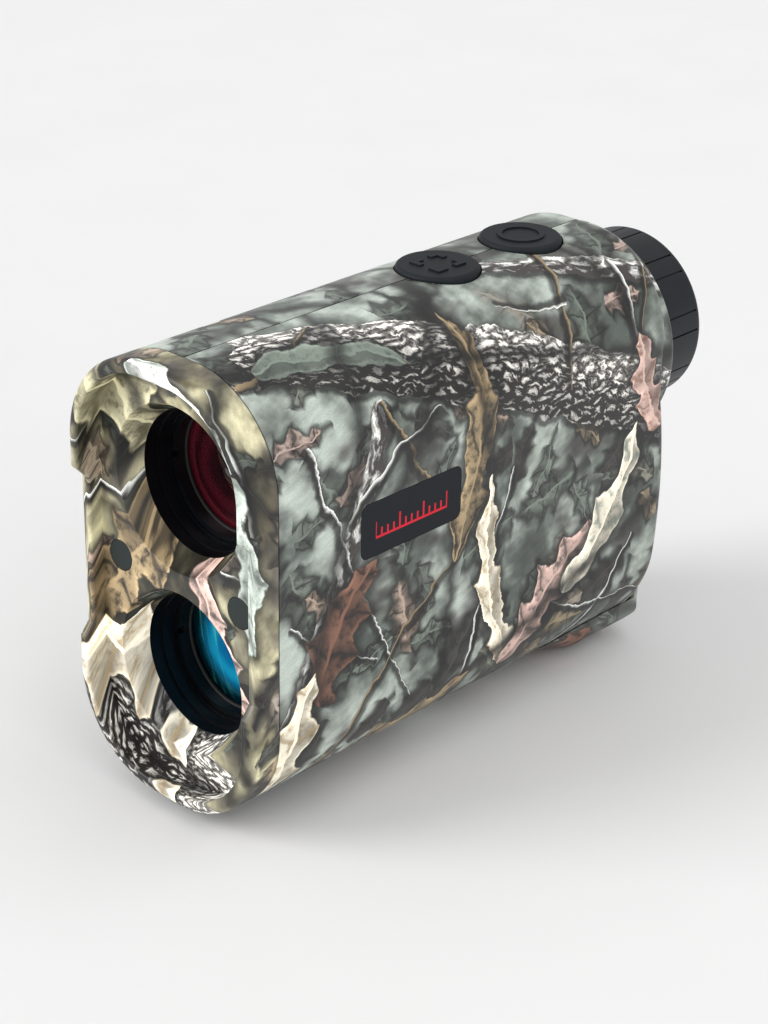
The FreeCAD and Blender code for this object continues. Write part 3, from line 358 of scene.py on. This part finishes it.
def litter(s, colour, u, v, mottle, scale, length, width, lobes, soft, shift):
    """A layer of small leaves, one to a cell, each turned its own way."""
    nearest = s.cells(s.vector(u + shift, v), scale)
    centre_u, centre_v, _ = s.split(s.out(nearest, "Position"))
    turn, tint, kept = s.split(s.out(nearest, "Color"))
    middle = (centre_u, centre_v)
    cover, shadow, veins, relief = leaf(s, u + shift, v, middle, turn * TAU, length, width, lobes,
                                        soft=soft)
    present = s.smooth(0.42, 0.44, kept)
    colour = s.shade(colour, 1 - shadow * present)
    skin = s.mix(TAUPE, LICHEN, s.smooth(0.1, 0.35, tint))
    skin = s.mix(skin, s.mix(ROSE, TAN, turn), s.smooth(0.55, 0.75, tint) * 0.8)
    skin = leaf_skin(s, skin, UMBER, mottle, veins, relief)
    return s.mix(colour, skin, cover * present * 0.9)


PRINT_CONTRAST, PRINT_BRIGHTNESS = 1.5, 2.0


def woodland_group(name, light, dark, limbs, twigs, leaves):
    """A printed film as a node group: a place on the film in millimetres gives a colour."""
    tree = bpy.data.node_groups.new(name, "ShaderNodeTree")
    for axis in ("U", "V"):
        tree.interface.new_socket(axis, in_out="INPUT", socket_type="NodeSocketFloat")
    tree.interface.new_socket("Color", in_out="OUTPUT", socket_type="NodeSocketColor")
    s = Shader(tree)
    given = s.node("NodeGroupInput", {})
    flat_u, flat_v = s.out(given, "U"), s.out(given, "V")
    film = s.vector(flat_u, flat_v)
    # Leaves and twigs sway by up to two millimetres and have ragged edges. The backdrop doesn't.
    sway_u = s.noise(film, 0.16, 2.0) - 0.5
    sway_v = s.noise(s.vector(flat_u + 90, flat_v), 0.16, 2.0) - 0.5
    jitter = s.noise(film, 0.9, 2.0, 0.6)
    u = flat_u + sway_u * 4.0 + (jitter - 0.5) * 0.7
    v = flat_v + sway_v * 4.0 + (jitter - 0.5) * 0.7
    mottle = s.smooth(0.42, 0.72, s.noise(film, 0.45, 4.0, 0.65))
    colour = ground(s, flat_u, flat_v, light, dark)
    for layer in LITTER:
        colour = litter(s, colour, u, v, mottle, **layer)
    for i, limb in enumerate(limbs):
        ridge = 0.45 if i else 0.72
        bright, deep = (CHALK, TAUPE) if i else (BARK_LIGHT, BARK_DARK)
        colour = paint_limb(s, colour, u, v, bright, deep, ridge, **limb)
    for i, twig in enumerate(twigs):
        colour = paint_stick(s, colour, u, v, CHALK if i % 3 else TAN, UMBER, **twig)
    for tint, shade, shape in leaves:
        colour = paint_leaf(s, colour, u, v, mottle, tint, shade, **shape)
    grain = s.noise(film, 4.0, 3.0, 0.75)
    colour = s.shade(colour, grain * 0.5 + 0.75)
    strong = s.node("ShaderNodeGamma", {"Color": colour, "Gamma": PRINT_CONTRAST})
    colour = s.shade(s.out(strong, "Color"), PRINT_BRIGHTNESS)
    s.node("NodeGroupOutput", {"Color": colour})
    return tree


SIDE_PRINT = woodland_group("side_print", SAGE_LIGHT, SAGE_DARK, LIMBS, TWIGS, LEAVES)
FRONT_PRINT = woodland_group("front_print", KHAKI_LIGHT, KHAKI_DARK,
                             FRONT_LIMBS, FRONT_TWIGS, FRONT_LEAVES)

# How the film lies on the body, in millimetres.
RIGHT_START = (18.0, 66.0)      # where the right shell's part of the film begins
BEZEL_START = (12.0, -60.0)     # where the middle of the bezel's face lies on its film
BEZEL_WRAP = (-1.7, -0.7)       # depths inside the outline between which the film turns round the rim
RIM_OUTSIDE = (-1.0, -0.5)      # depths inside the outline between which the painted shade of the joint line sets in
SHELL_SEAM_SHADE = (0.04, 0.16)       # from the middle of the shells' joint, where shade is painted, to plain film
BEZEL_SEAM_SHADE = (0.14, 0.02)       # from plain film to the middle of the bezel's joint, where shade is painted


def girth(s, x, z):
    """Distance in millimetres round the body's section, counted like z on the flat side walls."""
    r, half, high = CORNER_R / MM, HALF_WIDTH / MM, HEIGHT / MM
    middle = s.low(s.high(z, r), high - r)
    flat = s.high(abs(x) - (half - r), 0.0)
    turn = s.math("ARCTAN2", z - middle, flat + 0.001)
    crown = s.high((half - r) - abs(x), 0.0) * s.math("SIGN", z - middle)
    return middle + turn * r + crown


def outline_depth(s, x, z):
    """Signed distance in millimetres from the body's outline, negative inside."""
    r, half, high = CORNER_R / MM, HALF_WIDTH / MM, HEIGHT / MM
    dx = abs(x) - (half - r)
    dz = abs(z - high / 2) - (high / 2 - r)
    outer_x, outer_z = s.high(dx, 0.0), s.high(dz, 0.0)
    return (outer_x * outer_x + outer_z * outer_z) ** 0.5 + s.low(s.high(dx, dz), 0.0) - r


def film_side(s, x, y, z, sign):
    """The film runs round a shell and in over its rear. The right shell has another part of it."""
    around = girth(s, x, z)
    along = y - s.low(outline_depth(s, x, z), 0.0)
    if sign > 0:
        return along, around
    return RIGHT_START[0] - along, RIGHT_START[1] - around


def film_front(s, x, y, z, sign):
    """The film lies flat on the bezel's face and runs back over its outer sides."""
    depth = y - FRONT_Y / MM
    wrap = depth * s.smooth(*BEZEL_WRAP, outline_depth(s, x, z))
    spread_x = x * (wrap / (HALF_WIDTH / MM) + 1)
    spread_z = (z - HEIGHT / MM / 2) * (wrap / (HEIGHT / MM / 2) + 1)
    slide = depth - wrap
    return slide * 1.2 - spread_z + BEZEL_START[0], spread_x + slide * 0.4 + BEZEL_START[1]


def film_heel(s, x, y, z, sign):
    """The battery door has film of its own, wrapped round its lower corners."""
    return y - 60.0 + z * 0.9, x * 1.1 + z * 0.4 + 20.0


def camo_material(name, film, sign=1, tone=1.0):
    """Woodland print under a matt lacquer, with a fine moulded grain and painted shade along the joint
    lines.
    """
    material, s, principled = new_material(name)
    place = s.place()
    x, y, z = [axis / MM for axis in s.split(place)]
    u, v = film(s, x, y, z, sign)
    print_tree = FRONT_PRINT if film is film_front else SIDE_PRINT
    printed = s.node("ShaderNodeGroup", {}, node_tree=print_tree)
    s.feed(printed.inputs["U"], u)
    s.feed(printed.inputs["V"], v)
    # tone scales the whole print; on the front face its value above 1 is painted light.
    colour = s.shade(s.out(printed, "Color"), tone)
    if film is film_side:
        # Painted shade: the print darkens along the joint between the shells and along their joint with
        # the bezel.
        seam_unshaded = s.smooth(*SHELL_SEAM_SHADE, s.low(abs(x), abs(y - SEAM_Y / MM)))
        colour = s.shade(colour, seam_unshaded * 0.8 + 0.2)
    if film is film_front:
        # Painted shade: the bezel's print darkens along its joint with the shells, outside the rim.
        outside = s.smooth(*RIM_OUTSIDE, outline_depth(s, x, z))
        line = s.smooth(*BEZEL_SEAM_SHADE, abs(y - SEAM_Y / MM)) * outside
        colour = s.shade(colour, 1 - line * 0.8)
    scuff = s.smooth(0.62, 0.8, s.noise(place, 300.0, 4.0, 0.7))
    colour = s.mix(colour, SAGE_LIGHT, scuff * 0.12)
    grain = s.noise(place, 3500.0, 2.0, 0.6)
    s.feed(principled.inputs["Base Color"], colour)
    s.feed(principled.inputs["Roughness"], s.noise(place, 140.0, 3.0) * 0.14 + 0.36 + scuff * 0.12)
    s.feed(principled.inputs["Normal"], s.bump(grain, 0.25, 0.00004))
    principled.inputs["Coat Weight"].default_value = 0.15
    principled.inputs["Coat Roughness"].default_value = 0.3
    return material


# ---------------------------------------------------------------- plain finishes
# Noise scales are in cells to a metre and bump depths in metres.

def surface(name, light, dark, rough=(0.4, 0.55), metal=0.0, patch=90.0, grain=2500.0,
            depth=0.00003, brushed=(1, 1, 1), coat=0.0, shine=0.5):
    """A moulded, turned or cast finish: two tones in patches, uneven gloss and a fine grain.

    rough is the smoothest and the roughest patch, and brushed stretches the grain along each axis.
    """
    material, s, principled = new_material(name)
    place = s.place()
    x, y, z = s.split(place)
    drawn = s.vector(x * brushed[0], y * brushed[1], z * brushed[2])
    broad = s.noise(place, patch, 4.0, 0.6)
    fine = s.noise(drawn, grain, 3.0, 0.6)
    tone = s.clamp(s.smooth(0.3, 0.7, broad) * 0.7 + (fine - 0.5) * 0.5)
    s.feed(principled.inputs["Base Color"], s.mix(dark, light, tone))
    s.feed(principled.inputs["Roughness"], broad * (rough[1] - rough[0]) + rough[0] + (fine - 0.5) * 0.06)
    s.feed(principled.inputs["Normal"], s.bump(fine, 0.35, depth))
    principled.inputs["Metallic"].default_value = metal
    principled.inputs["Coat Weight"].default_value = coat
    principled.inputs["Specular IOR Level"].default_value = shine
    return material


RING_BLUR = 0.9


def lens_material(name, axis_z, rings, painted_sheen, painted_glow):
    """Coated glass: each of rings is a radius in millimetres and the colour from there outwards, painted
    reflection of the coating and painted shade in light and dark rings.
    """
    material, s, principled = new_material(name)
    place = s.place()
    x, _, z = [axis / MM for axis in s.split(place)]
    dz = z - axis_z / MM
    radius = (x * x + dz * dz) ** 0.5
    wave = s.noise(s.vector(x, dz), 0.22, 2.0) * 1.6
    colour = rings[0][1]
    for reach, tint in rings[1:]:
        colour = s.mix(colour, tint, s.smooth(reach - RING_BLUR, reach + RING_BLUR, radius + wave))
    # Painted sheen: soft streaks of a bright colour across the lens.
    sheen_streak = s.noise(s.vector(x * 1.1 + dz * 0.25, dz * 0.16), 0.55, 2.0)
    colour = s.mix(colour, painted_sheen, s.smooth(0.5, 0.82, sheen_streak) * 0.7)
    dust = s.smooth(0.5, 0.9, s.noise(place, 420.0, 2.0))
    s.feed(principled.inputs["Base Color"], colour)
    s.feed(principled.inputs["Roughness"], dust * 0.06 + 0.04)
    # The emission is a painted glow of the lens's own colours; the lens is no lamp.
    s.feed(principled.inputs["Emission Color"], colour)
    principled.inputs["Emission Strength"].default_value = painted_glow
    principled.inputs["Metallic"].default_value = 0.3
    principled.inputs["Specular IOR Level"].default_value = 0.6
    principled.inputs["Coat Weight"].default_value = 1.0
    principled.inputs["Coat Roughness"].default_value = 0.02
    return material


def clear_material(name, tint):
    """Clear optical glass with faint dust."""
    material, s, principled = new_material(name)
    place = s.place()
    dust = s.smooth(0.66, 0.8, s.noise(place, 1800.0, 3.0))
    s.feed(principled.inputs["Base Color"], s.mix(tint, rgb("ffffff"), dust * 0.5))
    s.feed(principled.inputs["Roughness"], dust * 0.15 + 0.02)
    principled.inputs["Transmission Weight"].default_value = 1.0
    principled.inputs["IOR"].default_value = 1.52
    return material


# The plate's scale, in millimetres: its clear ends, its steps, and heights from the plate's middle.
SCALE_MARGIN = 3.0
SCALE_STEPS = 12
LONG_TICK_EVERY = 4
BASE_LINE = -1.5
TICK_CENTRE = -0.9
LONG_TICK_EXTRA = 0.6


def plate_material():
    """Matt black label with a generic red range scale: a base line with short and long ticks."""
    material, s, principled = new_material("label_black")
    place = s.place()
    _, y, z = [axis / MM for axis in s.split(place)]
    length = (PLATE_HIGH.y - PLATE_LOW.y) / MM
    along = y - PLATE_LOW.y / MM
    up = z - (PLATE_LOW.z + PLATE_HIGH.z) / 2 / MM
    start, end = SCALE_MARGIN, length - SCALE_MARGIN
    inside = s.smooth(start, start + 0.05, along) * s.smooth(end, end - 0.05, along)
    line = s.smooth(0.22, 0.17, abs(up - BASE_LINE)) * inside
    pitch = (end - start - 0.1) / SCALE_STEPS
    step = (along - start) / pitch
    near = abs(s.math("FRACT", step + 0.5) - 0.5) * pitch
    beside = abs(s.math("FRACT", step / LONG_TICK_EVERY + 0.5) - 0.5)
    extra = s.math("LESS_THAN", beside, 0.1) * LONG_TICK_EXTRA
    tick = s.smooth(0.2, 0.15, near) * s.smooth(0.8, 0.75, abs(up - TICK_CENTRE - extra) - extra)
    ink = s.high(line, tick * inside)
    fine = s.noise(place, 4000.0, 3.0, 0.7)
    broad = s.noise(place, 250.0, 3.0)
    body = s.mix(rgb("0d1118"), rgb("1a2028"), broad * 0.6 + fine * 0.4)
    s.feed(principled.inputs["Base Color"], s.mix(body, rgb("e01b33"), ink))
    s.feed(principled.inputs["Roughness"], fine * 0.12 + 0.5 - ink * 0.1)
    s.feed(principled.inputs["Normal"], s.bump(fine * 0.6 + ink * 0.4, 0.3, 0.00004))
    principled.inputs["Specular IOR Level"].default_value = 0.25
    return material


# The ring colours are painted reflections of the lens coatings, with painted shade in the darker rings.
RED_REFLECTION_RINGS = ((0, rgb("180509")), (3.0, rgb("2c0d15")), (5.6, rgb("561624")), (8.0, rgb("12060a")),
             (8.8, rgb("6e1c2c")))
BLUE_REFLECTION_RINGS = ((0, rgb("0a5f9c")), (2.6, rgb("0c78ae")), (4.4, rgb("18a4d2")), (6.6, rgb("0b709a")),
              (8.0, rgb("0a5468")), (9.2, rgb("04222c")))
MATERIALS = {
    "camo_left": camo_material("camo_left", film_side, 1),
    "camo_right": camo_material("camo_right", film_side, -1),
    # The front face's print is lifted by 1.3 as painted light on the face turned to the front lamp.
    "camo_front": camo_material("camo_front", film_front, tone=1.3),
    "camo_heel": camo_material("camo_heel", film_heel),
    "rubber": surface("rubber", rgb("20262c"), rgb("12161b"), (0.5, 0.68), patch=160.0,
                      grain=5200.0, shine=0.28),
    "black": surface("black_nylon", rgb("1f262d"), rgb("10151a"), (0.34, 0.48), grain=3800.0, shine=0.3),
    "plug": surface("plug_grey", rgb("2f3735"), rgb("20272a"), (0.5, 0.62), grain=4200.0, shine=0.3),
    "plate": plate_material(),
    "barrel": surface("barrel_black", rgb("0c1016"), rgb("040508"), (0.32, 0.46), brushed=(1, 6, 1),
                      grain=1800.0, shine=0.22),
    "lens_red": lens_material("lens_red", UPPER_Z, RED_REFLECTION_RINGS, painted_sheen=rgb("46101a"), painted_glow=0.05),
    "lens_blue": lens_material("lens_blue", LOWER_Z, BLUE_REFLECTION_RINGS, painted_sheen=rgb("66f2dc"), painted_glow=0.3),
    "glass": clear_material("optical_glass", rgb("f2f7f6")),
    "steel": surface("screw_steel", rgb("b9bcc0"), rgb("75787d"), (0.25, 0.42), metal=1.0,
                     brushed=(8, 1, 1)),
    "brass": surface("brass", rgb("cda75c"), rgb("8a6b32"), (0.25, 0.45), metal=1.0),
    "nickel": surface("nickel", rgb("c9c6bd"), rgb("8c8a83"), (0.22, 0.4), metal=1.0),
    "board": surface("board_green", rgb("1f6b46"), rgb("124a30"), (0.35, 0.5), patch=420.0, coat=0.3),
    "chip": surface("chip_black", rgb("2b2d30"), rgb("191a1c"), (0.5, 0.65)),
    "flex": surface("flex_amber", rgb("c98b33"), rgb("8a5a1e"), (0.3, 0.45), patch=500.0),
    "battery": surface("battery_wrap", rgb("2c5f8f"), rgb("1c3d63"), (0.25, 0.4),
                       brushed=(1, 8, 8), coat=0.5),
    "sealing": surface("seal_rubber", rgb("1b1c1e"), rgb("0f1011"), (0.5, 0.65)),
    "coated": surface("prism_paint", rgb("3c4650"), rgb("1a2026"), (0.2, 0.35), coat=0.6),
}

FINISH = {
    "left_shell": "camo_left", "right_shell": "camo_right", "front_bezel": "camo_front",
    "battery_door": "camo_heel", "name_plate": "plate", "screw_plugs": "plug",
    "bezel_screws": "steel", "shell_screws": "steel", "screw_inserts": "brass",
    "tripod_insert": "brass", "lanyard_pin": "steel",
    "mode_button": "rubber", "measure_button": "rubber", "mode_plunger": "black",
    "measure_plunger": "black", "key_switches": "black", "key_board": "board",
    "keypad_seal": "sealing", "objective_barrel": "barrel", "objective_crown": "lens_red",
    "objective_flint": "glass", "objective_retainer": "barrel", "objective_o_ring": "sealing",
    "receiver_barrel": "barrel", "receiver_lens": "lens_blue", "receiver_retainer": "barrel",
    "receiver_o_ring": "sealing", "half_penta_prism": "glass", "roof_prism": "glass",
    "prism_carrier": "black", "prism_clamp": "steel", "display_glass": "coated",
    "display_frame": "black", "laser_holder": "brass", "laser_diode": "brass",
    "receiver_holder": "black", "receiver_filter": "lens_red", "photodiode": "nickel",
    "main_board": "board", "driver_board": "board", "flex_cable": "flex",
    "eyepiece_sleeve": "black", "eyepiece_cell": "barrel", "field_lens": "glass",
    "lens_spacer": "barrel", "eye_lens": "glass", "drive_pin": "steel",
    "diopter_o_ring": "sealing", "diopter_ring": "black", "eyecup": "rubber",
    "battery": "battery", "battery_plate": "nickel", "battery_spring": "nickel",
    "door_pad": "sealing", "door_pin": "steel",
}


def dress_nodes():
    """Every CAD node gets its finish through its own material slot."""
    for name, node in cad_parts.items():
        node.data.materials.clear()
        node.data.materials.append(MATERIALS[FINISH[name]])


# ---------------------------------------------------------------- camera, light and floor

# The camera is turned from the front towards +X, and looks past AIM by its two steps.
AZIMUTH, ELEVATION, ROLL = math.radians(43.42), math.radians(25.81), math.radians(0.96)
AIM = Vector((0.0, -33.6, 36.096)) * MM
DISTANCE = 352.49 * MM
SIDE_STEP, RISE = 26.83 * MM, 8.44 * MM
FOCAL, SENSOR = 84.66, 36.0
FLOOR_REACH = 6.0
LIGHT_AIM = Vector((0.0, 10.0, 35.0)) * MM


def away(azimuth, elevation):
    """Unit vector out from the object; azimuth is counted from the front towards +X."""
    return Vector((math.sin(azimuth) * math.cos(elevation), -math.cos(azimuth) * math.cos(elevation),
                   math.sin(elevation)))


def add_camera():
    back = away(AZIMUTH, ELEVATION)
    level = Vector((math.cos(AZIMUTH), math.sin(AZIMUTH), 0))
    upright = back.cross(level)
    right = level * math.cos(ROLL) + upright * math.sin(ROLL)
    up = upright * math.cos(ROLL) - level * math.sin(ROLL)
    data = bpy.data.cameras.new("camera")
    data.sensor_width = SENSOR
    data.lens = FOCAL
    data.clip_start = 0.01
    camera = bpy.data.objects.new("camera", data)
    camera.matrix_world = Matrix((right, up, back)).transposed().to_4x4()
    camera.location = AIM + back * DISTANCE + right * SIDE_STEP + up * RISE
    bpy.context.scene.collection.objects.link(camera)
    bpy.context.scene.camera = camera


def area_light(name, place, size, power):
    """A square lamp that faces the object."""
    data = bpy.data.lights.new(name, "AREA")
    data.shape = "SQUARE"
    data.size = size
    data.energy = power
    light = bpy.data.objects.new(name, data)
    light.location = place
    light.rotation_mode = "QUATERNION"
    light.rotation_quaternion = (LIGHT_AIM - Vector(place)).to_track_quat("-Z", "Y")
    bpy.context.scene.collection.objects.link(light)


def sun_light(name, azimuth, elevation, spread, strength):
    """Broad even light from far away, from an azimuth and elevation in degrees."""
    data = bpy.data.lights.new(name, "SUN")
    data.angle = math.radians(spread)
    data.energy = strength
    light = bpy.data.objects.new(name, data)
    source = away(math.radians(azimuth), math.radians(elevation))
    light.rotation_mode = "QUATERNION"
    light.rotation_quaternion = (-source).to_track_quat("-Z", "Y")
    bpy.context.scene.collection.objects.link(light)


def add_floor():
    """Pale paper that the heel touches."""
    material, s, principled = new_material("floor_paper")
    place = s.place()
    s.feed(principled.inputs["Base Color"], s.mix(rgb("f4f4f4"), rgb("f0f0f0"), s.noise(place, 30.0)))
    principled.inputs["Roughness"].default_value = 0.9
    principled.inputs["Specular IOR Level"].default_value = 0.1
    mesh = bpy.data.meshes.new("floor")
    low = CAD_BOUNDS[0][2]
    corners = [(FLOOR_REACH * x, FLOOR_REACH * y, low) for x, y in ((-1, -1), (1, -1), (1, 1), (-1, 1))]
    mesh.from_pydata(corners, [], [(0, 1, 2, 3)])
    mesh.materials.append(material)
    floor = bpy.data.objects.new("floor", mesh)
    bpy.context.scene.collection.objects.link(floor)


def add_lights():
    """White surroundings, a broad key light from the front, a weak one behind and a lamp at the side."""
    world = bpy.data.worlds.new("studio")
    world.use_nodes = True
    background = world.node_tree.nodes["Background"]
    background.inputs["Color"].default_value = (1, 1, 1, 1)
    background.inputs["Strength"].default_value = 0.66
    bpy.context.scene.world = world
    sun_light("front", azimuth=-34, elevation=32, spread=30, strength=1.35)
    sun_light("top", azimuth=130, elevation=62, spread=40, strength=0.35)
    area_light("side", place=(0.6, -0.2, 0.45), size=0.4, power=0.7)
    bpy.context.scene.view_settings.view_transform = "Standard"


dress_nodes()
add_camera()
add_floor()
add_lights()

bpy.context.view_layer.update()
